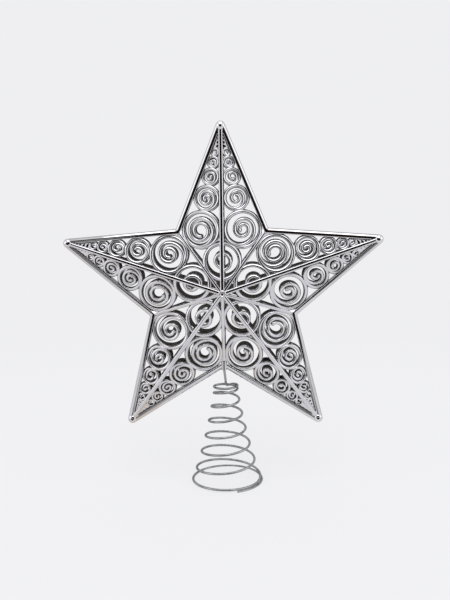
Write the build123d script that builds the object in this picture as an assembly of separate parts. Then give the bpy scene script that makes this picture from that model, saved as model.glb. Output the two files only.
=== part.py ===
from build123d import *
import math
import os

os.makedirs("parts", exist_ok=True)

# All sizes are millimetres. The star stands upright and faces -Y, the spring stands on z = 0.

# Star outline, as seen from the front
star_points = 5
point_radius = 109.8       # hub to where the straight edges of a point would meet
inner_radius = 49.0        # hub to the corner between two points
point_round = 2.85         # rounding of the points
corner_round = 1.2         # rounding of the corners between them

# Frame of one half
rim_width = 3.2
rim_height = 3.5           # seam to front of the rim
rim_bevel = 1.25
ridge_width = 2.3          # rib from the hub to a point
valley_width = 1.8         # rib from the hub to a corner
rib_depth = 2.7
rib_proud = 0.7            # rib top above the scroll panels
rib_soften = 0.55
hub_radius = 2.5
hub_height = 0.8           # above the ribs
hub_dimple_radius = 1.1
hub_dimple_depth = 0.6

# Roof on which the scroll panels lie
roof_edge = 1.5            # height above the seam along the outline
roof_apex = 14.3           # height above the seam at the hub
panel_thick = 1.8
edge_strip = 0.5           # plain strip round each panel
tip_cut = 1.4              # panels stop this far short of their sharp end

# Scrolls, the largest first
strand_widths = (1.9, 1.75, 1.5, 1.2, 1.0)
curl_share = 0.92          # width of a curl against its ring
ring_lap = 0.15            # neighbouring rings run into each other by this much
# Every curl: direction in which it leaves its ring, where it crosses that line
# again half turn by half turn (shares of the ring's radius), and what its end
# turns on beyond the last crossing, in degrees.
curls = {
    1: [
        (200, (1.0, -0.63, 0.44, -0.32, 0.18), 0),
        (205, (1.0, -0.60, 0.40, -0.22), 30),
        (225, (1.0, -0.55, 0.30), 60),
        (200, (1.0, -0.42, 0.20), 0),
        (240, (1.0, -0.30), 0),
    ],
    -1: [
        (225, (1.0, -0.63, 0.66, -0.36, 0.40), 40),
        (225, (1.0, -0.60, 0.52, -0.22, 0.22), 0),
        (215, (1.0, -0.55, 0.42, -0.10), 0),
        (250, (1.0, -0.42, 0.25), 0),
        (220, (1.0, -0.30), 0),
    ],
}
hub_curl = (270, (0.50, -0.44, 0.33), 0)

# Locating pins of the rear half in holes of the front half
pin_radius = 0.75
pin_length = 2.3
pin_clearance = 0.12
pin_inset = 3.1            # from the rounded end of a point
knob_radius = 2.6          # rounded knob on each point, round the pin
knob_proud = 0.7           # above the rim

# Socket for the wire, one half of it in each half of the star
socket_radius = 2.2
socket_proud = 1.5         # below the corner
socket_depth = 11.0
socket_end_wall = 1.5
wire_clearance = 0.06

# Spring, one wire
wire_diameter = 1.5
foot_radius = 23.8         # wire centre at the free end
seat_radius = 23.0         # wire centre where the coil lifts off
crown_radius = 8.1
foot_start = -68.0         # direction of the free end, degrees from +X
foot_sweep = 335.0         # degrees of wire that lie on the table
rise_sweep = 2135.0        # degrees of wire on the climbing cone
crown_sweep = 500.0        # degrees of wire in the tight top turns
rise_height = 58.6
crown_pitch = 2.15         # rise for each of the tight turns
foot_flat = 0.5            # depth of the flat on which the wire stands
foot_rise = 1.2            # climb over the wire on the table
arm_bend = 2.4             # bend from the top turn to the middle
stem_bend = 1.9
stem_free = 9.2            # straight wire between the bend and the socket
stem_end_gap = 0.3
free_end = 1.6             # straight run at the free end

half_sector = math.pi / star_points
tip_half_angle = math.atan2(
    inner_radius * math.sin(half_sector),
    point_radius - inner_radius * math.cos(half_sector),
)
round_point_radius = point_radius - point_round * (1 / math.sin(tip_half_angle) - 1)


def polar(radius, angle):
    # angle is counted clockwise from the upper point
    return (radius * math.sin(angle), radius * math.cos(angle))


def facet_corners(inset):
    # corners of the right-hand facet of the upper point, moved in from ribs and rim
    ridge_x = ridge_width / 2 + inset
    valley_off = valley_width / 2 + inset
    rim_off = rim_width + inset
    tan_tip = math.tan(tip_half_angle)
    sharp_y = point_radius - rim_off / math.sin(tip_half_angle) - ridge_x / tan_tip
    cut_y = sharp_y - tip_cut
    hub_y = (valley_off + ridge_x * math.cos(half_sector)) / math.sin(half_sector)
    rim_y = point_radius - rim_off / math.sin(tip_half_angle)
    along = (rim_y * math.sin(half_sector) - valley_off) / (
        math.cos(half_sector) * tan_tip + math.sin(half_sector)
    )
    corner = (along * tan_tip, rim_y - along)
    return {
        "hub": (ridge_x, hub_y),
        "corner": corner,
        "rim_tip": ((rim_y - cut_y) * tan_tip, cut_y),
        "ridge_tip": (ridge_x, cut_y),
        "sharp": (ridge_x, sharp_y),
    }


def facet_face(inset, side):
    c = facet_corners(inset)
    names = ["hub", "corner", "rim_tip", "ridge_tip"]
    return make_face(Polyline([(side * c[n][0], c[n][1]) for n in names], close=True))


def scroll_chain():
    # circles that touch ridge rib and rim, the first one the valley rib too
    c = facet_corners(0.0)
    beta = tip_half_angle / 2
    ridge_x, sharp_y = c["sharp"]
    reach = math.cos(beta) / math.sin(beta)
    sin_h, cos_h = math.sin(half_sector), math.cos(half_sector)
    outer = (sharp_y * sin_h - ridge_x * cos_h - valley_width / 2) / (1 + cos_h + reach * sin_h)
    ratio = (1 - math.sin(beta)) / (1 + math.sin(beta))
    chain = []
    while len(chain) < len(strand_widths):
        chain.append((ridge_x + outer, sharp_y - reach * outer, outer))
        outer = outer * ratio
    return chain


def hub_circle():
    # circle on the ridge that touches both valley lines and the first scrolls
    cx, cy, outer = scroll_chain()[0]
    s = math.sin(half_sector)
    a = 1 - s * s
    b = 2 * cy + 2 * s * outer
    k = cx * cx + cy * cy - outer * outer
    y = (b - math.sqrt(b * b - 4 * a * k)) / (2 * a)
    return (0.0, y, y * s)


def curl_face(middle, width, crossings, run_on):
    # one strand of shrinking half circles with a round end
    start = crossings[0] * middle
    edges = [Line((start - width / 2, 0), (start + width / 2, 0))]
    last = len(crossings) - 2
    for k in range(last + 1):
        here, there = crossings[k] * middle, crossings[k + 1] * middle
        centre, radius = (here + there) / 2, abs(here - there) / 2
        first = 0 if here > there else 180
        sweep = 180 + (run_on if k == last else 0)
        for r in (radius + width / 2, radius - width / 2):
            edges.append(CenterArc((centre, 0), r, first, sweep))
    angle = first + sweep
    end = (centre + radius * math.cos(math.radians(angle)), radius * math.sin(math.radians(angle)))
    edges.append(CenterArc(end, width / 2, angle, 180))
    return make_face(edges)


def scroll(cx, cy, outer, width, curl):
    direction, crossings, run_on = curl
    middle = outer + ring_lap - width / 2
    ring = Circle(middle + width / 2) - Circle(middle - width / 2)
    strand = curl_face(middle, width * curl_share, crossings, run_on)
    return Pos(cx, cy) * Rot(0, 0, direction) * (ring + strand)


def corner_web(side):
    # solid web between the first scroll and the corner
    cx, cy, outer = scroll_chain()[0]
    corner = facet_corners(0.0)["corner"]
    on_rim = (cx + outer * math.cos(tip_half_angle), cy + outer * math.sin(tip_half_angle))
    on_valley = (cx + outer * math.cos(half_sector), cy - outer * math.sin(half_sector))
    pts = [(side * p[0], p[1]) for p in (corner, on_rim, on_valley)]
    return make_face(Polyline(pts, close=True)) - Pos(side * cx, cy) * Circle(outer)


def point_web(side):
    # solid web past the smallest scroll
    c = facet_corners(0.0)
    low = scroll_chain()[-1][1]
    rim_y = point_radius - rim_width / math.sin(tip_half_angle)
    rim_x = (rim_y - low) * math.tan(tip_half_angle)
    last = scroll_chain()[-1]
    pts = [(c["ridge_tip"][0], low), (rim_x, low), c["rim_tip"], c["ridge_tip"]]
    web = make_face(Polyline([(side * p[0], p[1]) for p in pts], close=True))
    return web - Pos(side * last[0], last[1]) * Circle(last[2])


def panel_pattern(side):
    faces = facet_face(0.0, side) - facet_face(edge_strip, side)
    for (cx, cy, outer), width, curl in zip(scroll_chain(), strand_widths, curls[side]):
        faces = faces + scroll(side * cx, cy, outer, width, curl)
    hx, hy, h_outer = hub_circle()
    faces = faces + scroll(hx, hy, h_outer, strand_widths[0], hub_curl)
    faces = faces + corner_web(side) + point_web(side)
    return faces & facet_face(0.0, side)


def roof_height(x, y):
    # height of the right-hand facet above the seam, level along the outline
    fx, fy = polar(inner_radius, half_sector)
    slope_y = (roof_edge - roof_apex) / point_radius
    slope_x = (roof_edge - roof_apex - slope_y * fy) / fx
    return roof_apex + slope_x * x + slope_y * y


def socket_solid(radius):
    low = -(inner_radius + socket_proud)
    height = socket_depth + socket_end_wall
    return Pos(0, low, 0) * Rot(-90, 0, 0) * Cylinder(
        radius, height, align=(Align.CENTER, Align.CENTER, Align.MIN)
    )


def panel(side):
    pts = [(0, 0), polar(inner_radius, half_sector), (0, point_radius)]
    top = make_face(Polyline([(side * x, y, roof_height(x, y)) for x, y in pts], close=True))
    slab = extrude(top, amount=panel_thick, dir=(0, 0, -1))
    return extrude(panel_pattern(side), amount=roof_apex + panel_thick) & slab


def outline_face():
    corners = []
    for i in range(star_points):
        corners.append(polar(point_radius, 2 * half_sector * i))
        corners.append(polar(inner_radius, 2 * half_sector * i + half_sector))
    face = make_face(Polyline(corners, close=True))
    far = [v for v in face.vertices() if math.hypot(v.X, v.Y) > (point_radius + inner_radius) / 2]
    face = fillet(far, point_round)
    near = [v for v in face.vertices() if math.hypot(v.X, v.Y) < inner_radius + corner_round / 2]
    return fillet(near, corner_round)


def rim():
    c = facet_corners(0.0)
    corner_y = inner_radius - rim_width / math.sin(half_sector + tip_half_angle)
    pts = []
    for i in range(star_points):
        for x, y in ((-c["rim_tip"][0], c["rim_tip"][1]), c["rim_tip"], polar(corner_y, half_sector)):
            pts.append(polar(math.hypot(x, y), math.atan2(x, y) + 2 * half_sector * i))
    ring = extrude(outline_face(), amount=rim_height)
    ring = chamfer(ring.faces().sort_by(Axis.Z)[-1].edges(), rim_bevel)
    return ring - extrude(make_face(Polyline(pts, close=True)), amount=rim_height)


def rib(width, length, low_end):
    # bar from the hub outward along +Y, its top falls from the apex to the rim
    top = roof_apex + rib_proud
    end = low_end + rib_proud
    profile = Polyline([(0, top), (length, end), (length, end - rib_depth), (0, top - rib_depth)], close=True)
    bar = extrude(Plane.YZ * make_face(profile), amount=width / 2, both=True)
    long_top = [e for e in bar.edges().filter_by(GeomType.LINE) if e.length > length * 0.9]
    long_top = sorted(long_top, key=lambda e: -e.center().Z)[:2]
    return fillet(long_top, min(rib_soften, width * 0.4))


def ribs():
    c = facet_corners(0.0)
    corner_y = inner_radius - rim_width / math.sin(half_sector + tip_half_angle)
    ridge_len = c["rim_tip"][1] + tip_cut / 2
    valley_len = corner_y + rim_width / 4
    bars = []
    for i in range(star_points):
        ridge = rib(ridge_width, ridge_len, roof_height(0, ridge_len))
        valley = rib(valley_width, valley_len, roof_height(*polar(valley_len, half_sector)))
        bars.append(Rot(0, 0, -math.degrees(2 * half_sector * i)) * ridge)
        bars.append(Rot(0, 0, -math.degrees(2 * half_sector * i + half_sector)) * valley)
    return bars


def hub():
    top = roof_apex + rib_proud + hub_height
    height = rib_depth + hub_height
    post = Pos(0, 0, top - height) * Cylinder(
        hub_radius, height, align=(Align.CENTER, Align.CENTER, Align.MIN)
    )
    post = fillet(post.edges().filter_by(GeomType.CIRCLE).sort_by(Axis.Z)[-1:], hub_height * 0.6)
    dimple = Pos(0, 0, top - hub_dimple_depth) * Cylinder(
        hub_dimple_radius, hub_dimple_depth, align=(Align.CENTER, Align.CENTER, Align.MIN)
    )
    return post - dimple


def at_points(shape):
    where = round_point_radius - pin_inset
    spots = [polar(where, 2 * half_sector * i) for i in range(star_points)]
    return [Pos(x, y, 0) * shape for x, y in spots]


def point_knob():
    top = rim_height + knob_proud
    knob = Cylinder(knob_radius, top, align=(Align.CENTER, Align.CENTER, Align.MIN))
    return fillet(knob.edges().filter_by(GeomType.CIRCLE).sort_by(Axis.Z)[-1:], knob_proud * 0.9)


def half_frame(with_pins):
    upper = Pos(0, -inner_radius, 0) * Box(
        4 * socket_radius, 4 * inner_radius, 2 * socket_radius,
        align=(Align.CENTER, Align.CENTER, Align.MIN),
    )
    body = rim() + (socket_solid(socket_radius) & upper)
    for bar in ribs():
        body = body + bar
    body = body + hub()
    for one in at_points(point_knob()):
        body = body + one
    bore_low = -(inner_radius + socket_proud)
    bore = Pos(0, bore_low, 0) * Rot(-90, 0, 0) * Cylinder(
        wire_diameter / 2 + wire_clearance, socket_depth,
        align=(Align.CENTER, Align.CENTER, Align.MIN),
    )
    body = body - bore
    if with_pins:
        length = pin_length + rim_height / 2
        pin = Pos(0, 0, -pin_length) * Cylinder(
            pin_radius, length, align=(Align.CENTER, Align.CENTER, Align.MIN)
        )
        for one in at_points(pin):
            body = body + one
    else:
        hole = Cylinder(pin_radius + pin_clearance, 4 * rim_height)
        for one in at_points(hole):
            body = body - one
    return body


def wire_point(angle):
    # radius and height of the wire centre, angle in degrees from the free end
    seat_z = wire_diameter / 2 - foot_flat
    if angle <= foot_sweep:
        part = angle / foot_sweep
        lift = max(0.0, (angle - foot_sweep * 0.6) / (foot_sweep * 0.4))
        return foot_radius + (seat_radius - foot_radius) * part, seat_z + foot_rise * lift * lift
    climb = angle - foot_sweep
    if climb <= rise_sweep:
        part = climb / rise_sweep
        radius = seat_radius * (crown_radius / seat_radius) ** part
        return radius, seat_z + foot_rise + rise_height * part
    crown = climb - rise_sweep
    return crown_radius, seat_z + foot_rise + rise_height + crown_pitch * crown / 360


def wire_at(angle):
    radius, z = wire_point(angle)
    a = math.radians(angle + foot_start)
    return Vector(radius * math.cos(a), radius * math.sin(a), z)


def wire_heading(angle):
    return (wire_at(angle + 1.5) - wire_at(angle - 1.5)).normalized()


def biarc(p0, t0, p1, t1):
    v = p1 - p0
    vt = v.dot(t0 + t1)
    lack = 2 * (1 - t0.dot(t1))
    d = (math.sqrt(vt * vt + lack * v.dot(v)) - vt) / lack
    q0 = p0 + t0 * d
    q1 = p1 - t1 * d
    middle = (q0 + q1) * 0.5
    first = TangentArc(p0, middle, tangent=t0)
    second = TangentArc(middle, p1, tangent=(q1 - q0).normalized())
    return [first, second]


def coil_edges():
    total = foot_sweep + rise_sweep + crown_sweep
    steps = math.ceil(total / 90)
    angles = [total * i / steps for i in range(steps + 1)]
    spots = [wire_at(a) for a in angles]
    heads = [wire_heading(a) for a in angles]
    for end in (0, -1):
        heads[end] = Vector(heads[end].X, heads[end].Y, 0).normalized()
    edges = [Line(spots[0] - heads[0] * free_end, spots[0])]
    for i in range(steps):
        edges += biarc(spots[i], heads[i], spots[i + 1], heads[i + 1])
    return edges, spots[-1], heads[-1]


def stem_edges(start, ahead):
    # bend off the top turn, run to the middle, bend up and go straight into the socket
    inward = Vector(-start.X, -start.Y, 0).normalized()
    reach = crown_radius - arm_bend
    turn = math.acos(-arm_bend / reach)
    centre = start + inward * arm_bend
    bend_end = centre + (ahead * math.sin(turn) - inward * math.cos(turn)) * arm_bend
    way = ahead * math.cos(turn) + inward * math.sin(turn)
    run_end = Vector(0, 0, start.Z) - way * stem_bend
    up = Vector(0, 0, 1)
    stem_low = Vector(0, 0, start.Z + stem_bend)
    stem_top = stem_low + up * (stem_free + socket_depth - stem_end_gap)
    return [
        TangentArc(start, bend_end, tangent=ahead),
        Line(bend_end, run_end),
        TangentArc(run_end, stem_low, tangent=way),
        Line(stem_low, stem_top),
    ]


def least_gap(edges):
    spots = []
    for e in edges:
        count = max(2, round(e.length / 0.6))
        spots += [e @ (k / count) for k in range(count)]
    away = [0.0]
    for a, b in zip(spots, spots[1:]):
        away.append(away[-1] + (b - a).length)
    least = 1e9
    for i, a in enumerate(spots):
        for j in range(i + 8, len(spots)):
            if away[j] - away[i] > 4 * wire_diameter:
                least = min(least, (spots[j] - a).length)
    return least - wire_diameter


def spring():
    coil, start, ahead = coil_edges()
    edges = coil + stem_edges(start, ahead)
    print("least gap of the spring to itself, mm:", round(least_gap(edges), 2))
    path = Wire(edges)
    tube = sweep(Plane(path @ 0, z_dir=path % 0) * Circle(wire_diameter / 2), path=path)
    under = Box(
        4 * foot_radius, 4 * foot_radius, 2 * wire_diameter,
        align=(Align.CENTER, Align.CENTER, Align.MAX),
    )
    return tube - under


facet_names = [
    "top_left", "top_right", "right_upper", "right_lower", "lower_right_outer",
    "lower_right_inner", "lower_left_inner", "lower_left_outer", "left_lower", "left_upper",
]
seat_z = wire_diameter / 2 - foot_flat
run_z = seat_z + foot_rise + rise_height + crown_pitch * crown_sweep / 360
hub_z = run_z + stem_bend + stem_free + socket_proud + inner_radius
front = Plane(origin=(0, 0, hub_z), x_dir=(1, 0, 0), z_dir=(0, -1, 0)).location
rear = Location((0, 0, 0), (0, 0, 180)) * front

export_step(front * half_frame(False), "parts/front_frame.step")
export_step(rear * half_frame(True), "parts/rear_frame.step")
left_panel = panel(-1)
right_panel = panel(1)
socket = socket_solid(socket_radius)
for i in range(star_points):
    spin = Rot(0, 0, -math.degrees(2 * half_sector * i))
    for side, blank in ((0, left_panel), (1, right_panel)):
        piece = spin * blank
        name = facet_names[2 * i + side]
        if name.endswith("inner"):
            piece = piece - socket
        piece = front * piece
        export_step(piece, "parts/front_scroll_" + name + ".step")
        export_step(mirror(piece, about=Plane.XZ), "parts/rear_scroll_" + name + ".step")
export_step(spring(), "parts/tree_spring.step")
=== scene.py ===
import bpy
import math
from mathutils import Matrix, Vector, geometry


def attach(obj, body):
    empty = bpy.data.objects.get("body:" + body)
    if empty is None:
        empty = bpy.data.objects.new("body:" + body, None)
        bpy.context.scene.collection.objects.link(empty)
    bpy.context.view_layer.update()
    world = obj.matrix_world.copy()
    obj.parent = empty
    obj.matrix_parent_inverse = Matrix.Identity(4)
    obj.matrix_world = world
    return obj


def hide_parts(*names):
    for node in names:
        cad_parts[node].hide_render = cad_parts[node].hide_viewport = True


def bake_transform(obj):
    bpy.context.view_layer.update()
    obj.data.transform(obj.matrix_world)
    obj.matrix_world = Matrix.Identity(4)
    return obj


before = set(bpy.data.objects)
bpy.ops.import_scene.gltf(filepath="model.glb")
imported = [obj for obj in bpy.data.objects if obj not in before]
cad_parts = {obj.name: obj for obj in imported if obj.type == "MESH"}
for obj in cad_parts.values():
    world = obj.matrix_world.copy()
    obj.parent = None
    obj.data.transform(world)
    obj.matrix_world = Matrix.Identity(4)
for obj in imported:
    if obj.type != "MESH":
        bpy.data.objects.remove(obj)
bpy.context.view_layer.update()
print("frame loaded:", len(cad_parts), "nodes")

# everything is modelled in millimetres and scaled to metres when it is set in place
mm = 0.001
toMetres = Matrix.Scale(mm, 4)
nearly = 0.01       # tolerance where points are told by their height
touching = 0.02     # and where they are told by their distance from a line
welding = 0.002     # points closer than this become one

starForm = {
    "points": 5,
    "pointRadius": 109.8,    # hub to where the straight edges of a point would meet
    "innerRadius": 49.0,     # hub to the corner between two points
    "pointRound": 2.85,
    "cornerRound": 1.2,
    "roofEdge": 1.5,         # height of the facets along the outline
    "roofApex": 14.3,        # height of the facets at the hub
    "hubHeight": 124.63,     # hub above the table
}

halfSector = math.pi / starForm["points"]
tipHalf = math.atan2(
    starForm["innerRadius"] * math.sin(halfSector),
    starForm["pointRadius"] - starForm["innerRadius"] * math.cos(halfSector),
)
roundPointRadius = starForm["pointRadius"] - starForm["pointRound"] * (1 / math.sin(tipHalf) - 1)
frontPlace = Matrix(
    ((1, 0, 0, 0), (0, 0, -1, 0), (0, 1, 0, starForm["hubHeight"]), (0, 0, 0, 1))
)
rearPlace = Matrix.Rotation(math.pi, 4, "Z") @ frontPlace
seamMirror = Matrix.Diagonal((1, -1, 1, 1))


def clockwise(radius, angle):
    # plan position, the angle counted clockwise from the upper point
    return (radius * math.sin(angle), radius * math.cos(angle))


def roofSlopes():
    # how the right-hand facet of the upper point falls along x and y
    rimX, rimY = clockwise(starForm["innerRadius"], halfSector)
    fall = starForm["roofEdge"] - starForm["roofApex"]
    slopeY = fall / starForm["pointRadius"]
    return (fall - slopeY * rimY) / rimX, slopeY


def roofHeight(x, y):
    slopeX, slopeY = roofSlopes()
    return starForm["roofApex"] + slopeX * abs(x) + slopeY * y


def ramp(value, low, high):
    # 0 up to low, 1 from high on, smooth between them
    share = min(1.0, max(0.0, (value - low) / (high - low)))
    return share * share * (3 - 2 * share)


# helpers for modelling


def deselectAll():
    if bpy.context.object and bpy.context.object.mode != "OBJECT":
        bpy.ops.object.mode_set(mode="OBJECT")
    bpy.ops.object.select_all(action="DESELECT")


def pick(piece):
    deselectAll()
    piece.select_set(True)
    bpy.context.view_layer.objects.active = piece


def editAll(piece):
    pick(piece)
    bpy.ops.object.mode_set(mode="EDIT")
    bpy.ops.mesh.select_all(action="SELECT")


def objectMode():
    bpy.ops.object.mode_set(mode="OBJECT")


def join(pieces, name):
    deselectAll()
    for one in pieces:
        one.select_set(True)
    bpy.context.view_layer.objects.active = pieces[0]
    bpy.ops.object.join()
    joined = bpy.context.object
    joined.name = name
    return joined


def ownCopy(piece, name):
    copy = piece.copy()
    copy.data = piece.data.copy()
    copy.name = name
    bpy.context.scene.collection.objects.link(copy)
    return copy


def place(piece, matrix):
    piece.data.transform(matrix)
    piece.data.update()
    return piece


def outward(piece):
    editAll(piece)
    bpy.ops.mesh.remove_doubles(threshold=welding)
    bpy.ops.mesh.normals_make_consistent(inside=False)
    objectMode()


def smooth(piece, degrees):
    pick(piece)
    bpy.ops.object.shade_smooth_by_angle(angle=math.radians(degrees))


def outlineOf(points, fill="NOTHING"):
    # closed line through the given points
    deselectAll()
    bpy.ops.mesh.primitive_circle_add(vertices=len(points), radius=1.0, fill_type=fill)
    piece = bpy.context.object
    for vertex, point in zip(piece.data.vertices, points):
        vertex.co = point
    return piece


def polygon(points, name):
    # flat face on the given plan
    piece = outlineOf([(x, y, 0.0) for x, y in points], "NGON")
    piece.name = name
    return piece


def raised(points, height, name, low=0.0):
    # prism on the given plan
    piece = polygon(points, name)
    editAll(piece)
    bpy.ops.mesh.normals_make_consistent(inside=False)
    bpy.ops.mesh.extrude_region_move(TRANSFORM_OT_translate={"value": (0, 0, height)})
    objectMode()
    place(piece, Matrix.Translation((0, 0, low)))
    outward(piece)
    return piece


def spinRound(piece, steps, axis=(0, 0, 1)):
    # an outline turned full circle into a closed body
    editAll(piece)
    bpy.ops.mesh.spin(steps=steps, angle=2 * math.pi, center=(0, 0, 0), axis=axis)
    objectMode()
    outward(piece)
    return piece


def turned(outline, steps):
    # body of revolution from radii and heights
    return spinRound(outlineOf([(x, 0.0, z) for x, z in outline]), steps)


def easeEdges(piece, test, offset, segments, profile=0.5):
    # bevel on the edges whose two ends pass the test
    pick(piece)
    bpy.ops.object.mode_set(mode="EDIT")
    bpy.ops.mesh.select_mode(type="EDGE")
    bpy.ops.mesh.select_all(action="DESELECT")
    objectMode()
    points = piece.data.vertices
    for edge in piece.data.edges:
        edge.select = all(test(points[v].co) for v in edge.vertices)
    bpy.ops.object.mode_set(mode="EDIT")
    bpy.ops.mesh.bevel(offset=offset, segments=segments, profile=profile, affect="EDGES")
    objectMode()


def subtract(piece, cutter):
    pick(piece)
    cut = piece.modifiers.new("cut", "BOOLEAN")
    cut.operation = "DIFFERENCE"
    cut.solver = "EXACT"
    cut.object = cutter
    bpy.ops.object.modifier_apply(modifier=cut.name)
    bpy.data.objects.remove(cutter)


def coat(piece, share):
    # how much of the silver film every point has, as a function of its place
    film = piece.data.attributes.new("film", "FLOAT", "POINT")
    for vertex, value in zip(piece.data.vertices, film.data):
        value.value = share(vertex.co)


def allSilver(co):
    return 1.0


sectionForm = {
    "crownAngles": (-90, -66, -44, -24, -8, 8, 24, 44, 66, 90),
    "shoulder": 0.12,        # share of the flare just below the crown
    "easeIn": 0.12,          # softening of the lower edges, inward and upward
    "easeUp": 0.15,
}


def section(width, crown, depth, flare, at):
    # cross-section of a moulded strand in the XZ plane: crowned top, drafted sides, flat underside
    form = sectionForm
    half = width / 2
    outline = []
    for degrees in form["crownAngles"]:
        t = math.radians(degrees)
        outline.append((half * math.sin(t), -crown * (1 - math.cos(t))))
    side = [
        (half + flare * form["shoulder"], -crown - form["easeUp"]),
        (half + flare, -depth + form["easeUp"]),
        (half + flare - form["easeIn"], -depth),
    ]
    outline += side + [(-x, z) for x, z in reversed(side)]
    return outlineOf([(at[0] + x, at[1], at[2] + z) for x, z in outline])


# scroll panels

scrollForm = {
    "ridgeWidth": 2.3,
    "valleyWidth": 1.8,
    "rimWidth": 3.2,
    "tipCut": 1.4,           # panels stop this far short of their sharp end
    "ringLap": 0.15,         # neighbouring rings run into each other by this much
    "strandWidths": (1.75, 1.6, 1.4, 1.14, 0.95),
    "curlShare": 0.92,       # width of the curl against its ring
    "curlDrop": 0.04,        # the curl lies this much lower than its ring
    "crownShare": 0.25,      # height of the crowned top against the width
    "depth": 1.8,
    "flare": 0.4,            # draft of the sides over the depth
    "thinFlare": 0.4,        # share of it that doesn't shrink with the strand
    "eyeShare": 0.6,         # radius of the round end against the width
    "eyeCrown": 0.62,        # height of its dome against that radius
    "halfCut": 0.5,          # the half scroll ends this far from the middle of the ridge
    "bareBelow": -1.45,      # heights from which the film begins and is whole
    "filmAbove": -0.55,
    "crease": 38,            # edges sharper than this many degrees stay sharp
    "ringSteps": (28, 2.4),  # steps of a ring: at least, and for each millimetre of its radius
    "curlSteps": (8, 4.5),
    "webDepth": 1.65,
    "webLap": 0.6,           # share of the ring's width that the fan runs into
    "flutes": 6,             # of the fan in the corner
    "fluteHeight": 0.08,
    "fluteFade": 4.0,        # how fast the flutes grow away from the ring
    "fluteFrom": 0.15,       # their share of a half wave, from the border inward
    "fluteOver": 0.7,
    "fanDrop": 0.6,          # the fan starts this far below the ring's top
    "fanRise": 1.4,
    "fanCurve": 1.3,
    "pointLap": 0.75,        # share of the last ring's radius where the plate at the tip begins
    "pointDrop": 0.25,
    "pointSwell": 0.28,
    "pointRipples": 4,
    "rippleShare": 0.4,      # share of the swell that comes and goes
    # every curl: direction in which it leaves its ring, where it crosses that line again
    # half turn by half turn, and what its end turns on beyond the last crossing
    "curls": {
        1: (
            (200, (1.0, -0.63, 0.44, -0.32, 0.18), 0),
            (205, (1.0, -0.60, 0.40, -0.22), 30),
            (225, (1.0, -0.55, 0.30), 60),
            (200, (1.0, -0.42, 0.20), 0),
            (240, (1.0, -0.30), 0),
        ),
        -1: (
            (225, (1.0, -0.63, 0.66, -0.36, 0.40), 40),
            (225, (1.0, -0.60, 0.52, -0.22, 0.22), 0),
            (215, (1.0, -0.55, 0.42, -0.10), 0),
            (250, (1.0, -0.42, 0.25), 0),
            (220, (1.0, -0.30), 0),
        ),
    },
    "hubCurl": (270, (0.50, -0.44, 0.33), 0),
}


def facetCorners():
    # corners of the right-hand facet of the upper point, between ribs and rim
    ridgeX = scrollForm["ridgeWidth"] / 2
    valleyOff = scrollForm["valleyWidth"] / 2
    rimY = starForm["pointRadius"] - scrollForm["rimWidth"] / math.sin(tipHalf)
    sharpY = rimY - ridgeX / math.tan(tipHalf)
    cutY = sharpY - scrollForm["tipCut"]
    along = (rimY * math.sin(halfSector) - valleyOff) / (
        math.cos(halfSector) * math.tan(tipHalf) + math.sin(halfSector)
    )
    return {
        "corner": (along * math.tan(tipHalf), rimY - along),
        "rimTip": ((rimY - cutY) * math.tan(tipHalf), cutY),
        "ridgeTip": (ridgeX, cutY),
        "sharp": (ridgeX, sharpY),
        "rimY": rimY,
    }


def scrollChain():
    # circles that touch ridge and rim, the first one the valley too
    ridgeX, sharpY = facetCorners()["sharp"]
    valleyOff = scrollForm["valleyWidth"] / 2
    beta = tipHalf / 2
    reach = 1 / math.tan(beta)
    outer = (sharpY * math.sin(halfSector) - ridgeX * math.cos(halfSector) - valleyOff) / (
        1 + math.cos(halfSector) + reach * math.sin(halfSector)
    )
    ratio = (1 - math.sin(beta)) / (1 + math.sin(beta))
    chain = []
    while len(chain) < len(scrollForm["strandWidths"]):
        chain.append((ridgeX + outer, sharpY - reach * outer, outer))
        outer *= ratio
    return chain


def hubCircle():
    # middle and radius of the circle on the ridge that touches both valleys and the first scrolls
    x, y, outer = scrollChain()[0]
    s = math.sin(halfSector)
    a = 1 - s * s
    b = 2 * y + 2 * s * outer
    k = x * x + y * y - outer * outer
    middle = (b - math.sqrt(b * b - 4 * a * k)) / (2 * a)
    return middle, middle * s


def makeEye(radius, flare):
    # round end of a curl
    depth = scrollForm["depth"]
    dome = scrollForm["eyeCrown"] * radius
    outline = [(0.0, 0.0)]
    for degrees in (22, 44, 66, 90):
        t = math.radians(degrees)
        outline.append((radius * math.sin(t), -dome * (1 - math.cos(t))))
    outline += [
        (radius + flare, -depth + sectionForm["easeUp"]),
        (radius + flare - sectionForm["easeIn"], -depth),
        (0.0, -depth),
    ]
    return turned(outline, 18)


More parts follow.
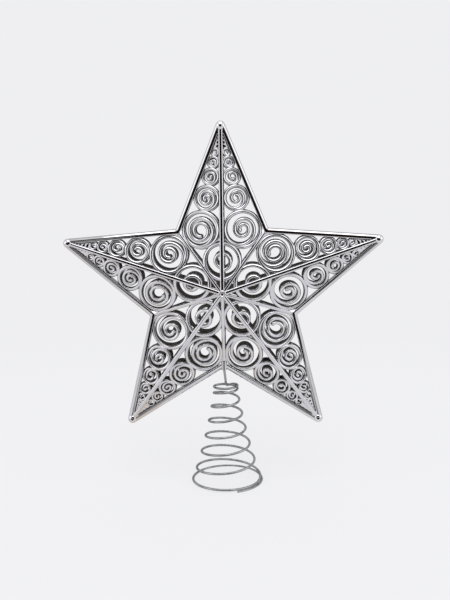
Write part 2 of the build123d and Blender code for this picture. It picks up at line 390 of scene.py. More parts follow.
def makeScroll(outer, width, curl, name):
    # a ring, and a curl of shrinking half circles that leaves it, all spun from one section
    form = scrollForm
    depth, drop = form["depth"], form["curlDrop"]
    middle = outer + form["ringLap"] - width / 2
    slim = width / form["strandWidths"][0]
    flare = form["flare"] * (form["thinFlare"] + (1 - form["thinFlare"]) * slim)
    ring = section(width, width * form["crownShare"], depth, flare, (middle, 0, 0))
    least, more = form["ringSteps"]
    spinRound(ring, least + int(more * outer))

    direction, crossings, runOn = curl
    curlWidth = width * form["curlShare"]
    strand = section(
        curlWidth, curlWidth * form["crownShare"], depth - drop, flare,
        (crossings[0] * middle, 0, -drop),
    )
    editAll(strand)
    bpy.ops.mesh.edge_face_add()
    least, more = form["curlSteps"]
    last = len(crossings) - 2
    for k in range(last + 1):
        here, there = crossings[k] * middle, crossings[k + 1] * middle
        centre, radius = (here + there) / 2, abs(here - there) / 2
        sweep = math.pi + (math.radians(runOn) if k == last else 0.0)
        bpy.ops.mesh.spin(
            steps=least + int(more * math.sqrt(radius)), angle=-sweep,     # anticlockwise
            center=(centre, 0, 0), axis=(0, 0, 1),
        )
    objectMode()
    outward(strand)
    eye = makeEye(curlWidth * form["eyeShare"], flare)
    angle = sweep + (0.0 if here > there else math.pi)
    end = (centre + radius * math.cos(angle), radius * math.sin(angle), -drop / 2)
    place(eye, Matrix.Translation(end))
    scroll = join([ring, strand, eye], name)
    return place(scroll, Matrix.Rotation(math.radians(direction), 4, "Z"))


def makeSheet(across, along, shape, name):
    # plate on the surface that shape gives for the two shares, with a skirt down to its underside
    deselectAll()
    bpy.ops.mesh.primitive_grid_add(x_subdivisions=across, y_subdivisions=along, size=1.0)
    sheet = bpy.context.object
    sheet.name = name
    for vertex in sheet.data.vertices:
        vertex.co = shape(vertex.co.x + 0.5, vertex.co.y + 0.5)
    editAll(sheet)
    bpy.ops.mesh.select_all(action="DESELECT")
    bpy.ops.mesh.select_non_manifold()
    bpy.ops.mesh.extrude_edges_move(
        TRANSFORM_OT_translate={"value": (0, 0, -scrollForm["webDepth"])}
    )
    bpy.ops.mesh.edge_face_add()
    objectMode()
    outward(sheet)
    return sheet


def makeCornerWeb():
    # fluted fan between the first ring, the rim and the valley
    form = scrollForm
    x, y, outer = scrollChain()[0]
    corner = Vector(facetCorners()["corner"])
    middle = Vector((x, y))
    inner = outer + form["ringLap"] - form["strandWidths"][0] * form["webLap"]
    onRim, onValley = [
        middle + Vector((math.cos(a), math.sin(a))) * outer for a in (tipHalf, -halfSector)
    ]

    def shape(u, v):
        angle = tipHalf - (halfSector + tipHalf) * u
        ray = Vector((math.cos(angle), math.sin(angle)))
        border = onRim.lerp(corner, 2 * u) if u < 0.5 else corner.lerp(onValley, 2 * u - 1)
        spot = border.lerp(middle + ray * inner, v)
        wave = math.cos(2 * math.pi * form["flutes"] * u)
        wave *= math.sin(math.pi * (form["fluteFrom"] + form["fluteOver"] * v))
        # a scoop that rises from the ring to the corner
        far = max(0.0, ((spot - middle).length - outer) / ((corner - middle).length - outer))
        flute = form["fluteHeight"] * wave * min(1.0, form["fluteFade"] * far)
        return (spot.x, spot.y, flute - form["fanDrop"] + form["fanRise"] * far ** form["fanCurve"])

    return makeSheet(70, 8, shape, "cornerWeb")


def makePointWeb():
    # rippled plate past the smallest scroll
    form = scrollForm
    facet = facetCorners()
    y, outer = scrollChain()[-1][1:]
    ridgeX, high = facet["ridgeTip"]
    low = y + outer * form["pointLap"]

    def shape(u, v):
        upY = low + (high - low) * v
        rimX = (facet["rimY"] - upY) * math.tan(tipHalf)
        ripple = form["rippleShare"] * math.cos(2 * math.pi * form["pointRipples"] * v)
        swell = form["pointSwell"] * (1 - (2 * u - 1) ** 2) * (1 - form["rippleShare"] + ripple)
        return (ridgeX + (rimX - ridgeX) * u, upY, swell - form["pointDrop"])

    return makeSheet(8, 24, shape, "pointWeb")


def makePanel(side, webs):
    form = scrollForm
    mirror = Matrix.Diagonal((side, 1, 1, 1))
    bits = []
    for one in webs:
        bit = ownCopy(one, "bit")
        place(bit, mirror)
        outward(bit)
        bits.append(bit)
    for (x, y, outer), width, curl in zip(scrollChain(), form["strandWidths"], form["curls"][side]):
        bit = makeScroll(outer, width, curl, "bit")
        bits.append(place(bit, Matrix.Translation((side * x, y, 0))))
    # half scroll beside the ridge, its cut ends stay inside the rib
    middle, outer = hubCircle()
    half = makeScroll(outer, form["strandWidths"][0], form["hubCurl"], "half")
    place(half, Matrix.Translation((0.0, middle, 0)))
    editAll(half)
    bpy.ops.mesh.bisect(
        plane_co=(side * form["halfCut"], 0, 0), plane_no=(side, 0, 0),
        use_fill=True, clear_inner=True,
    )
    objectMode()
    bits.append(half)
    panel = join(bits, "panelRight" if side > 0 else "panelLeft")
    coat(panel, lambda co: ramp(co.z, form["bareBelow"], form["filmAbove"]))
    smooth(panel, form["crease"])
    slopeX, slopeY = roofSlopes()
    roof = Matrix((
        (1, 0, 0, 0), (0, 1, 0, 0),
        (side * slopeX, slopeY, 1, starForm["roofApex"]), (0, 0, 0, 1),
    ))
    return place(panel, roof)


webs = [makeCornerWeb(), makePointWeb()]
panelBlanks = {side: makePanel(side, webs) for side in (-1, 1)}

facetNames = [
    "top_left", "top_right", "right_upper", "right_lower", "lower_right_outer",
    "lower_right_inner", "lower_left_inner", "lower_left_outer", "left_lower", "left_upper",
]
scrollPieces = []
for i in range(starForm["points"]):
    armTurn = Matrix.Rotation(-2 * halfSector * i, 4, "Z")
    for side in (-1, 1):
        name = facetNames[2 * i + (side + 1) // 2]
        for half in ("front", "rear"):
            piece = ownCopy(panelBlanks[side], half + "Scroll_" + name)
            place(piece, toMetres @ frontPlace @ armTurn)
            if half == "rear":
                place(piece, seamMirror)
                piece.data.flip_normals()
            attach(piece, "star")
            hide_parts(half + "_scroll_" + name)
            scrollPieces.append(piece)
for spare in webs + list(panelBlanks.values()):
    bpy.data.objects.remove(spare)
print("scroll panels:", len(scrollPieces), "of", len(scrollPieces[0].data.polygons), "faces")

# frames of the two halves

frameForm = {
    "rimHeight": 3.5,
    "rimBevel": 1.6,
    "bevelProfile": 0.42,
    "seamEase": 0.28,        # groove left between the halves
    "innerEase": 0.45,
    "filmWhole": 0.1,        # the film is whole down to here, from the front of the rim
    "seamFilm": 0.1,         # share of the film that is left at the seam
    "rimCrease": 32,
    "ribProud": 0.7,
    "ribDepth": 2.7,
    "ribFlare": 0.3,
    "ribStart": 0.6,         # from the middle of the hub
    "ribBare": 0.9,          # depth at which the film begins to thin out
    "ridgeCrown": 0.42,
    "ridgeEnd": 0.3,         # a ridge ends this far above the rim
    "ridgeLap": 0.5,         # and this far inside the knob
    "valleyCrown": 0.4,
    "valleyLap": 0.25,       # share of the rim's width that a valley runs into
    "hubRadius": 2.5,
    "hubHeight": 0.8,
    "hubBare": 2.4,          # depths at which the film begins and is whole
    "hubFilm": 1.2,
    "dimpleRadius": 1.25,
    "dimpleDepth": 0.55,
    "pinRadius": 0.75,
    "pinLength": 2.3,
    "pinEase": 0.2,
    "pinClearance": 0.12,
    "pinInset": 3.1,
    "knobRadius": 2.75,      # rounded knob on each point
    "knobProud": 0.7,
    "knobFall": 1.9,         # how steeply its dome falls, and from where
    "knobCap": 0.94,
    "knobFoot": 2.2,         # it reaches this far into the rim
    "socketRadius": 2.2,
    "socketProud": 1.5,
    "socketLength": 12.5,
    "socketSeam": 0.05,      # each half of it stops this far from the seam
    "socketSwell": 4.6,      # height of the socket where it stands in front of the rim
    "swellFrom": -44.8,      # where that begins, counted upward from the hub
    "swellStep": 0.2,        # length over which it begins
    "swellWiden": 1.08,
    "swellTilt": 0.08,
    "boreRadius": 0.81,
    "boreWall": 0.25,        # points farther out than this don't belong to the bore
    "boreDepth": 11.0,
    "crease": 38,
}


def cornerY():
    # hub to the corner of the opening between two points
    return starForm["innerRadius"] - scrollForm["rimWidth"] / math.sin(halfSector + tipHalf)


def arcPoints(middle, toward, radius, first, sweep, steps):
    # points on an arc round a centre that lies at the given distance and direction from the hub
    cx, cy = clockwise(middle, toward)
    points = []
    for k in range(steps + 1):
        x, y = clockwise(radius, first + sweep * k / steps)
        points.append((cx + x, cy + y))
    return points


def starOutline():
    # straight edges, rounded points and rounded corners between them
    notch = halfSector + tipHalf
    tipCentre = starForm["pointRadius"] - starForm["pointRound"] / math.sin(tipHalf)
    notchCentre = starForm["innerRadius"] + starForm["cornerRound"] / math.sin(notch)
    tipSpread = math.pi / 2 - tipHalf
    notchSpread = math.pi / 2 - notch
    points = []
    for i in range(starForm["points"]):
        tip = 2 * halfSector * i
        corner = tip + halfSector
        points += arcPoints(
            tipCentre, tip, starForm["pointRound"], tip - tipSpread, 2 * tipSpread, 12
        )
        points += arcPoints(
            notchCentre, corner, starForm["cornerRound"],
            corner + math.pi + notchSpread, -2 * notchSpread, 4,
        )
    return points


def openingCorners():
    # plan of the opening that holds the scroll panels
    x, y = facetCorners()["rimTip"]
    points = []
    for i in range(starForm["points"]):
        for spotX, spotY in ((-x, y), (x, y), clockwise(cornerY(), halfSector)):
            turn = math.atan2(spotX, spotY) + 2 * halfSector * i
            points.append(Vector(clockwise(math.hypot(spotX, spotY), turn)))
    return points


def makeRim():
    form = frameForm
    height = form["rimHeight"]
    rim = raised(starOutline(), height, "rim")
    easeEdges(
        rim, lambda co: co.z > height - nearly, form["rimBevel"], 5, form["bevelProfile"]
    )
    easeEdges(rim, lambda co: co.z < nearly, form["seamEase"], 1)
    corners = openingCorners()
    subtract(rim, raised(corners, 6.0, "opening", -1.0))     # well past both ends of the rim

    def onOpening(co):
        spot = Vector((co.x, co.y))
        return any(
            (spot - geometry.intersect_point_line(spot, a, b)[0].to_2d()).length < touching
            for a, b in zip(corners, corners[1:] + corners[:1])
        )

    easeEdges(
        rim, lambda co: co.z >= height - nearly and onOpening(co), form["innerEase"], 3
    )

    def filmShare(co):
        if co.z < height - form["innerEase"] + touching and onOpening(co):
            return 0.0
        if co.z < height - form["filmWhole"]:
            # thin towards the seam
            return min(1.0, max(form["seamFilm"], co.z - height + form["rimBevel"]))
        return 1.0

    coat(rim, filmShare)
    return rim


def makeRib(width, length, lowEnd, crown):
    # bar from the hub outward along +Y, its top falls from the apex to the rim
    form = frameForm
    top = starForm["roofApex"] + form["ribProud"]
    end = lowEnd + form["ribProud"]
    rib = section(width, crown, form["ribDepth"], form["ribFlare"], (0, form["ribStart"], top))
    editAll(rib)
    bpy.ops.mesh.edge_face_add()
    bpy.ops.mesh.extrude_region_move(
        TRANSFORM_OT_translate={"value": (0, length - form["ribStart"], end - top)}
    )
    objectMode()
    outward(rib)

    def filmShare(co):
        below = top + (end - top) * co.y / length - co.z
        return 1.0 - min(1.0, max(0.0, below - form["ribBare"]))

    coat(rib, filmShare)
    return rib


def makeHub():
    # turned boss with a dimple
    form = frameForm
    top = starForm["roofApex"] + form["ribProud"] + form["hubHeight"]
    hub, dimple, deep = form["hubRadius"], form["dimpleRadius"], form["dimpleDepth"]
    boss = turned([
        (0.0, top - deep), (dimple * 0.55, top - deep),
        (dimple * 0.85, top - deep * 0.72), (dimple, top - deep * 0.3),
        (dimple + 0.14, top - 0.05), (dimple + 0.32, top),
        (hub - 0.55, top - 0.1), (hub - 0.2, top - 0.34), (hub, top - 0.8),
        (hub, top - 2.6), (hub - 0.15, top - 2.75), (0.0, top - 2.75),
    ], 36)
    coat(boss, lambda co: ramp(co.z, top - form["hubBare"], top - form["hubFilm"]))
    return boss


def makeSocket():
    # half of a round socket with its bore, rounded at the lower end
    form = frameForm
    radius, bore = form["socketRadius"], form["boreRadius"]
    low = -(starForm["innerRadius"] + form["socketProud"])
    high = low + form["socketLength"]
    boreEnd = low + form["boreDepth"]
    swellFrom, halfStep = form["swellFrom"], form["swellStep"] / 2
    outline = [
        (0.0, high), (radius - 0.7, high), (radius - 0.2, high - 0.2), (radius, high - 0.7),
        (radius, swellFrom + halfStep), (radius, swellFrom - halfStep),
        (radius, low + 0.35), (radius - 0.1, low + 0.1), (radius - 0.35, low),
        (bore + 0.2, low), (bore, low + 0.2), (bore, boreEnd), (0.0, boreEnd),
    ]
    socket = spinRound(outlineOf([(x, y, 0.0) for x, y in outline]), 40, (0, 1, 0))
    editAll(socket)
    bpy.ops.mesh.bisect(
        plane_co=(0, 0, form["socketSeam"]), plane_no=(0, 0, 1), use_fill=True, clear_inner=True
    )
    objectMode()
    for vertex in socket.data.vertices:
        # over the rim the outside stands forward, the bore stays round
        away = math.hypot(vertex.co.x, vertex.co.z)
        if vertex.co.y < swellFrom and away > bore + form["boreWall"]:
            vertex.co.x *= form["swellWiden"]
            swell = form["socketSwell"] + form["swellTilt"] * (low - vertex.co.y)
            vertex.co.z *= swell / radius
    coat(socket, allSilver)
    return socket


def makeKnob(hole):
    # domed ring round the hole of a point, or a whole dome where there is none
    form = frameForm
    radius = form["knobRadius"]
    low, top = form["rimHeight"] - form["knobFoot"], form["rimHeight"] + form["knobProud"]
    outline = [(0.0, low), (0.0, top + 0.1)]
    if hole:
        outline = [(hole, low), (hole, top - 0.12), (hole + 0.14, top)]
    for degrees in (35, 45, 55, 65, 75, 84, 90):
        t = math.radians(degrees)
        fall = form["knobFall"] * (form["knobCap"] - math.cos(t))
        outline.append((radius * math.sin(t), top - fall))
    outline.append((radius, low))
    knob = turned(outline, 32)
    coat(knob, allSilver)
    return knob


def cylinderAt(x, y, low, high, radius):
    deselectAll()
    bpy.ops.mesh.primitive_cylinder_add(
        vertices=24, radius=radius, depth=high - low, location=(x, y, (low + high) / 2)
    )
    bpy.ops.object.transform_apply(location=True)
    return bpy.context.object


def makeBars(pinRing):
    # ridges and valleys, each modelled once
    form = frameForm
    ridgeLength = pinRing - form["knobRadius"] + form["ridgeLap"]
    ridgeLow = form["rimHeight"] + form["ridgeEnd"] - form["ribProud"]
    ridge = makeRib(scrollForm["ridgeWidth"], ridgeLength, ridgeLow, form["ridgeCrown"])
    valleyLength = cornerY() + scrollForm["rimWidth"] * form["valleyLap"]
    valleyLow = roofHeight(*clockwise(valleyLength, halfSector))
    valley = makeRib(scrollForm["valleyWidth"], valleyLength, valleyLow, form["valleyCrown"])
    bars = []
    for i in range(starForm["points"]):
        for bar, angle in ((ridge, 0.0), (valley, halfSector)):
            turn = Matrix.Rotation(-2 * halfSector * i - angle, 4, "Z")
            bars.append(place(ownCopy(bar, "bar"), turn))
    for spare in (ridge, valley):
        bpy.data.objects.remove(spare)
    return bars


def makeHalfFrame(name, withPins):
    form = frameForm
    rim = makeRim()
    pinRing = roundPointRadius - form["pinInset"]
    spots = [clockwise(pinRing, 2 * halfSector * i) for i in range(starForm["points"])]
    hole = form["pinRadius"] + form["pinClearance"]
    extra = []
    if withPins:
        for x, y in spots:
            pin = cylinderAt(x, y, -form["pinLength"], 1.0, form["pinRadius"])
            easeEdges(pin, lambda co: co.z < 0, form["pinEase"], 3)
            coat(pin, allSilver)
            extra.append(pin)
    else:
        holes = [cylinderAt(x, y, -1, form["rimHeight"] + 1, hole) for x, y in spots]
        subtract(rim, join(holes, "holes"))
    knob = makeKnob(0.0 if withPins else hole)
    for x, y in spots:
        extra.append(place(ownCopy(knob, "knob"), Matrix.Translation((x, y, 0))))
    bpy.data.objects.remove(knob)
    smooth(rim, form["rimCrease"])
    bits = makeBars(pinRing) + [makeHub(), makeSocket()] + extra
    for bit in bits:
        smooth(bit, form["crease"])
    return join([rim] + bits, name)


frames = []
for half, where, pins in (("front", frontPlace, False), ("rear", rearPlace, True)):
    piece = makeHalfFrame(half + "Frame", pins)
    place(piece, toMetres @ where)
    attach(piece, "star")
    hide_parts(half + "_frame")
    frames.append(piece)
print("frames:", [len(f.data.polygons) for f in frames], "faces")

# tree spring

springForm = {
    "wire": 1.5,
    "footRadius": 22.85,
    "seatRadius": 22.05,
    "crownRadius": 7.6,
    "offset": 0.75,          # the coil stands this far to the right of the socket
    "footStart": -68.0,
    "footSweep": 400.0,      # the foot runs on over its own free end
    "footFlat": 0.5,
    "liftFrom": 0.40,        # share of the foot that lies on the table
    "liftTo": 0.85,
    "footRise": 1.4,
    "riseSweep": 2070.0,
    "riseHeight": 58.3,
    "riseBulge": 0.157,      # the lower turns are wider apart than the upper ones
    "crownSweep": 500.0,
    "crownRise": 3.25,       # of the tight turns at the top, which flatten out
    "armBend": 2.4,
    "stemBend": 1.9,
    "stemEndGap": 0.3,
    "freeEnd": 1.6,
    "step": 6.0,             # degrees of coil between two points of the path
    "bendSteps": 12,
    "stemSteps": 8,
    "crease": 40,
}


def wireAt(angle):
    # middle of the wire, the angle counted from the free end of the foot
    form = springForm
    seat = form["wire"] / 2 - form["footFlat"]
    if angle <= form["footSweep"]:
        share = angle / form["footSweep"]
        radius = form["footRadius"] + (form["seatRadius"] - form["footRadius"]) * share
        z = seat + form["footRise"] * ramp(share, form["liftFrom"], form["liftTo"])
    else:
        climb = angle - form["footSweep"]
        share = min(1.0, climb / form["riseSweep"])
        radius = form["seatRadius"] * (form["crownRadius"] / form["seatRadius"]) ** share
        z = seat + form["footRise"]
        z += form["riseHeight"] * share * (1 + form["riseBulge"] * (1 - share))
        over = max(0.0, climb - form["riseSweep"]) / form["crownSweep"]
        z += form["crownRise"] * over * (2 - over)
    a = math.radians(angle + form["footStart"])
    return Vector((form["offset"] + radius * math.cos(a), radius * math.sin(a), z))


def wirePath():
    form = springForm
    total = form["footSweep"] + form["riseSweep"] + form["crownSweep"]
    count = round(total / form["step"])
    coil = [wireAt(total * i / count) for i in range(count + 1)]
    ahead = (coil[0] - coil[1]).normalized()
    ahead.z = 0
    path = [coil[0] + ahead * form["freeEnd"]] + coil
    # off the top turn and to the middle
    start = coil[-1]
    ahead = wireAt(total) - wireAt(total - 1)
    ahead.z = 0
    ahead.normalize()
    inward = Vector((form["offset"] - start.x, -start.y, 0)).normalized()
    bend = form["armBend"]
    turn = math.acos(-bend / (form["crownRadius"] - bend))
    centre = start + inward * bend
    for i in range(1, form["bendSteps"] + 1):
        t = turn * i / form["bendSteps"]
        path.append(centre + (ahead * math.sin(t) - inward * math.cos(t)) * bend)
    # up towards the socket
    way = ahead * math.cos(turn) + inward * math.sin(turn)
    bend = form["stemBend"]
    for i in range(form["bendSteps"] + 1):
        t = math.pi / 2 * i / form["bendSteps"]
        spot = Vector((form["offset"], 0, start.z + bend * (1 - math.cos(t))))
        path.append(spot + way * bend * (math.sin(t) - 1))
    low = path[-1].z
    mouth = starForm["hubHeight"] - starForm["innerRadius"] - frameForm["socketProud"]
    for i in range(1, form["stemSteps"] + 1):
        t = i / form["stemSteps"]
        path.append(Vector((form["offset"] * (1 - ramp(t, 0, 1)), 0, low + (mouth - low) * t)))
    path.append(Vector((0, 0, mouth + frameForm["boreDepth"] - form["stemEndGap"])))
    return path


def makeSpring():
    line = bpy.data.curves.new("springLine", "CURVE")
    line.dimensions = "3D"
    line.bevel_depth = springForm["wire"] / 2
    line.bevel_resolution = 5
    line.use_fill_caps = True
    spots = wirePath()
    spline = line.splines.new("POLY")
    spline.points.add(len(spots) - 1)
    for point, spot in zip(spline.points, spots):
        point.co = (*spot, 1.0)
    piece = bpy.data.objects.new("treeSpring", line)
    bpy.context.scene.collection.objects.link(piece)
    pick(piece)
    bpy.ops.object.convert(target="MESH")
    piece = bpy.context.object
    for vertex in piece.data.vertices:
        vertex.co.z = max(0.0, vertex.co.z)      # the flat on which the wire stands
    outward(piece)
    smooth(piece, springForm["crease"])
    return piece


spring = makeSpring()
place(spring, toMetres)
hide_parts("tree_spring")
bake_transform(spring)
print("spring:", len(spring.data.polygons), "faces")

# finishes


class Link:
    # a socket that can be used in sums
    def __init__(self, tree, socket=None):
        self.tree = tree
        self.socket = socket

    def node(self, kind, settings=None, inputs=None, output=0):
        made = self.tree.nodes.new(kind)
        for name, value in (settings or {}).items():
            setattr(made, name, value)
        for key, value in (inputs or {}).items():
            if isinstance(value, Link):
                self.tree.links.new(value.socket, made.inputs[key])
            else:
                made.inputs[key].default_value = value
        return Link(self.tree, made.outputs[output] if len(made.outputs) else None)

    def other(self, output):
        # another output of the same node
        return Link(self.tree, self.socket.node.outputs[output])

    def sum(self, operation, first, second):
        return self.node("ShaderNodeMath", {"operation": operation}, {0: first, 1: second})

    def __add__(self, other):
        return self.sum("ADD", self, other)

    def __radd__(self, other):
        return self.sum("ADD", other, self)

    def __sub__(self, other):
        return self.sum("SUBTRACT", self, other)

    def __rsub__(self, other):
        return self.sum("SUBTRACT", other, self)

    def __mul__(self, other):
        return self.sum("MULTIPLY", self, other)

    def __rmul__(self, other):
        return self.sum("MULTIPLY", other, self)

    def __pow__(self, other):
        return self.sum("POWER", self, other)

    def mix(self, first, second):
        # colour between two, this socket being the share of the second
        return self.node(
            "ShaderNodeMix", {"data_type": "RGBA"}, {0: self, 6: first, 7: second}, 2
        )

    def span(self, low, high, first=0.0, second=1.0):
        return self.node(
            "ShaderNodeMapRange", {"interpolation_type": "SMOOTHSTEP"},
            {0: self, 1: low, 2: high, 3: first, 4: second},
        )

    def noise(self, scale, detail):
        # noise over the place that this socket gives
        return self.node(
            "ShaderNodeTexNoise", None, {"Vector": self, "Scale": scale, "Detail": detail}
        )

    def bump(self, strength, distance):
        return self.node(
            "ShaderNodeBump", None, {"Strength": strength, "Distance": distance, "Height": self}
        )


def newMaterial(name):
    material = bpy.data.materials.new(name)
    material.use_nodes = True
    tree = material.node_tree
    tree.nodes.clear()
    return material, Link(tree)


silverLook = {
    "silver": (0.69, 0.685, 0.715, 1),
    "silverDeep": (0.60, 0.595, 0.62, 1),
    "bare": (0.085, 0.08, 0.07, 1),       # plastic where the film doesn't reach
    "gateMark": (0.20, 0.15, 0.15, 1),
    "gateRadii": (0.0006, 0.00115),
    "gloss": 0.035,
    "smudgeGloss": 0.085,
    "bareGloss": 0.34,
    "smudgeScale": 38.0,
    "smudgeSpan": (0.48, 0.72),
    "grain": 0.08,                        # unevenness of the thin film
    "grainScale": 420.0,
    "ripple": 0.05,
    "rippleScale": 190.0,
    "rippleHeight": 0.0004,
    "metalSpan": (0.05, 0.9),             # film from which it looks like metal
    "lacquer": 0.15,
    "lacquerGloss": 0.05,
}


def silverPlastic():
    look = silverLook
    material, start = newMaterial("silveredPlastic")
    spot = start.node("ShaderNodeTexCoord", output="Object")
    film = start.node("ShaderNodeAttribute", {"attribute_name": "film"}, output="Fac")
    smudge = spot.noise(look["smudgeScale"], 3.0).span(*look["smudgeSpan"])
    fine = spot.noise(look["grainScale"], 2.0)
    ripple = spot.noise(look["rippleScale"], 1.0)
    # gate mark in the dimple of the hub
    across = start.node("ShaderNodeSeparateXYZ", None, {0: spot})
    up = across.other(2) - starForm["hubHeight"] * mm
    away = (across * across + up * up) ** 0.5
    gate = away.span(*look["gateRadii"], 1.0, 0.0)
    thin = film * ((1 - look["grain"]) + look["grain"] * fine)
    silver = smudge.mix(look["silver"], look["silverDeep"])
    silver = gate.mix(silver, look["gateMark"])
    gloss = look["gloss"] + smudge * (look["smudgeGloss"] - look["gloss"])
    shader = start.node("ShaderNodeBsdfPrincipled", None, {
        "Base Color": thin.mix(look["bare"], silver),
        "Metallic": film.span(*look["metalSpan"]),
        "Roughness": film * gloss + (1 - film) * look["bareGloss"],
        "Normal": ripple.bump(look["ripple"], look["rippleHeight"]),
        "Coat Weight": look["lacquer"],
        "Coat Roughness": look["lacquerGloss"],
    })
    start.node("ShaderNodeOutputMaterial", None, {"Surface": shader})
    return material


wireLook = {
    "zinc": (0.38, 0.39, 0.395, 1),
    "zincDark": (0.25, 0.255, 0.26, 1),
    "edge": (0.45, 0.45, 0.44, 1),          # tint where the wire turns away
    "gloss": 0.20,
    "dullGloss": 0.32,
    "spotScale": 160.0,
    "spotSpan": (0.4, 0.7),
    "grain": 0.12,
    "grainScale": 2400.0,
    "grainHeight": 0.0001,
}


def springSteel():
    look = wireLook
    material, start = newMaterial("springSteel")
    spot = start.node("ShaderNodeTexCoord", output="Object")
    dull = spot.noise(look["spotScale"], 4.0).span(*look["spotSpan"])
    fine = spot.noise(look["grainScale"], 2.0)
    shader = start.node("ShaderNodeBsdfPrincipled", None, {
        "Base Color": dull.mix(look["zinc"], look["zincDark"]),
        "Metallic": 1.0,
        "Specular Tint": look["edge"],
        "Roughness": look["gloss"] + dull * (look["dullGloss"] - look["gloss"]),
        "Normal": fine.bump(look["grain"], look["grainHeight"]),
    })
    start.node("ShaderNodeOutputMaterial", None, {"Surface": shader})
    return material


def dress(piece, material):
    piece.data.materials.clear()
    piece.data.materials.append(material)


silver = silverPlastic()
for piece in scrollPieces + frames:
    dress(piece, silver)
dress(spring, springSteel())
print("finishes done")

# studio

studio = {
    "paleGround": (0.863, 0.863, 0.879, 1),
    "skyLight": (0.92, 0.92, 0.95, 1),
    "skyStrength": 0.85,
    "floorColour": (0.90, 0.90, 0.90, 1),
    "floorSize": 3.0,
    "floorShown": 0.85,      # share of the plain ground colour against lit floor, near the object
    "floorFade": (0.25, 0.95),   # from where to where the floor goes over into the backdrop
    "roomAway": -0.54,       # dark room beyond the table edge, in front of the star
    "roomOutline": (
        (-0.35, 0.0), (0.35, 0.0), (0.35, 0.30), (0.30, 0.43), (0.20, 0.55),
        (-0.20, 0.55), (-0.30, 0.43), (-0.35, 0.30),
    ),
    "roomColour": (0.014, 0.009, 0.006, 1),
    # what lies beyond the table, and the warm table top
    "edgeOutline": ((-0.35, -0.54), (0.35, -0.54), (0.35, -0.46), (-0.35, -0.46)),
    "woodOutline": ((-0.30, -0.10), (-0.03, -0.10), (-0.03, 0.06), (-0.30, 0.06)),
    "woodColour": (0.80, 0.73, 0.64, 1),
    "cardLift": 0.0004,
}


def seenRays(start):
    camera = start.node("ShaderNodeLightPath", output="Is Camera Ray")
    rays = camera + camera.other("Is Glossy Ray") + camera.other("Is Transmission Ray")
    return start.sum("MINIMUM", rays, 1.0)


def makeWorld():
    world = bpy.data.worlds.new("studioSky")
    world.use_nodes = True
    bpy.context.scene.world = world
    world.node_tree.nodes.clear()
    start = Link(world.node_tree)
    seen = seenRays(start)
    colour = seen.mix(studio["skyLight"], studio["paleGround"])
    strength = studio["skyStrength"] + seen * (1 - studio["skyStrength"])
    ground = start.node("ShaderNodeBackground", None, {"Color": colour, "Strength": strength})
    start.node("ShaderNodeOutputWorld", None, {"Surface": ground})


def makeFloor():
    deselectAll()
    bpy.ops.mesh.primitive_plane_add(size=studio["floorSize"], location=(0, 0, 0))
    floor = bpy.context.object
    floor.name = "floor"
    material, start = newMaterial("paleFloor")
    lit = start.node("ShaderNodeBsdfDiffuse", None, {"Color": studio["floorColour"]})
    shown = start.node(
        "ShaderNodeEmission", None, {"Color": studio["paleGround"], "Strength": 1.0}
    )
    spot = start.node("ShaderNodeTexCoord", output="Object")
    away = start.node("ShaderNodeVectorMath", {"operation": "LENGTH"}, {0: spot}, "Value")
    share = away.span(*studio["floorFade"], studio["floorShown"], 1.0)
    both = start.node(
        "ShaderNodeMixShader", None, {0: seenRays(start) * share, 1: lit, 2: shown}
    )
    start.node("ShaderNodeOutputMaterial", None, {"Surface": both})
    dress(floor, material)


def makeCard(outline, where, colour, name):
    # a card that only polished faces see
    card = polygon(outline, name)
    place(card, where)
    material, start = newMaterial(name)
    glow = start.node("ShaderNodeEmission", None, {"Color": colour, "Strength": 1.0})
    start.node("ShaderNodeOutputMaterial", None, {"Surface": glow})
    dress(card, material)
    card.visible_camera = False
    card.visible_diffuse = False
    card.visible_shadow = False


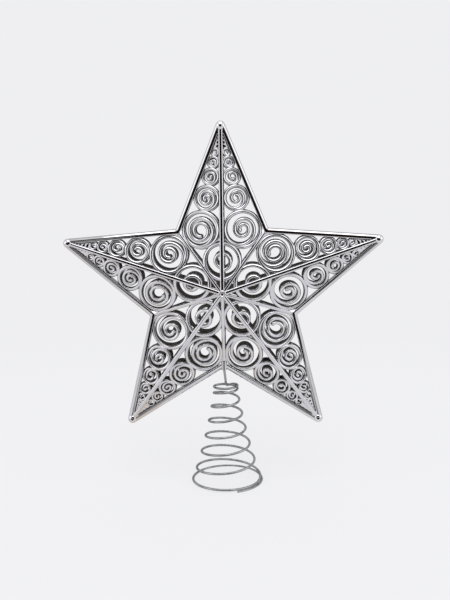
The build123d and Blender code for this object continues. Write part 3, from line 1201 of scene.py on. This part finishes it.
softboxes = {
    "left": {"spot": (-0.80, -0.30, 0.40), "size": 0.6, "power": 0.95},
    "right": {"spot": (0.80, -0.28, 0.45), "size": 0.6, "power": 0.95},
    "over": {"spot": (0.0, -0.38, 1.05), "size": 0.8, "power": 4.2},
}
softboxAim = (0, 0, 0.12)


def makeSoftboxes():
    for name, box in softboxes.items():
        lamp = bpy.data.lights.new(name + "Softbox", "AREA")
        lamp.shape = "SQUARE"
        lamp.size = box["size"]
        lamp.energy = box["power"]
        holder = bpy.data.objects.new(name + "Softbox", lamp)
        bpy.context.scene.collection.objects.link(holder)
        spot = Vector(box["spot"])
        turn = (Vector(softboxAim) - spot).to_track_quat("-Z", "Y").to_matrix().to_4x4()
        holder.matrix_world = Matrix.Translation(spot) @ turn


cameraForm = {
    "spot": (0.0159, -0.4381, 0.1815),
    "ahead": (-0.03336, 0.98942, -0.14120),
    "roll": -0.9,
    "lens": 41.86,
    "sensor": 36.0,
}


def makeCamera():
    data = bpy.data.cameras.new("photoCamera")
    data.sensor_width = cameraForm["sensor"]
    data.lens = cameraForm["lens"]
    data.clip_start = 0.01
    data.clip_end = 50.0
    camera = bpy.data.objects.new("photoCamera", data)
    bpy.context.scene.collection.objects.link(camera)
    ahead = Vector(cameraForm["ahead"]).normalized()
    right = ahead.cross(Vector((0, 0, 1))).normalized()
    up = right.cross(ahead)
    level = Matrix((right, up, -ahead)).transposed().to_4x4()
    roll = Matrix.Rotation(math.radians(cameraForm["roll"]), 4, "Z")
    camera.matrix_world = Matrix.Translation(cameraForm["spot"]) @ level @ roll
    bpy.context.scene.camera = camera


makeWorld()
makeFloor()
upright = Matrix(((1, 0, 0, 0), (0, 0, 0, studio["roomAway"]), (0, 1, 0, 0), (0, 0, 0, 1)))
onTable = Matrix.Translation((0, 0, studio["cardLift"]))
makeCard(studio["roomOutline"], upright, studio["roomColour"], "darkRoom")
makeCard(studio["edgeOutline"], onTable, studio["roomColour"], "darkEdge")
makeCard(studio["woodOutline"], onTable, studio["woodColour"], "tableTop")
makeSoftboxes()
makeCamera()
bpy.context.scene.view_settings.view_transform = "Standard"
print("studio done")
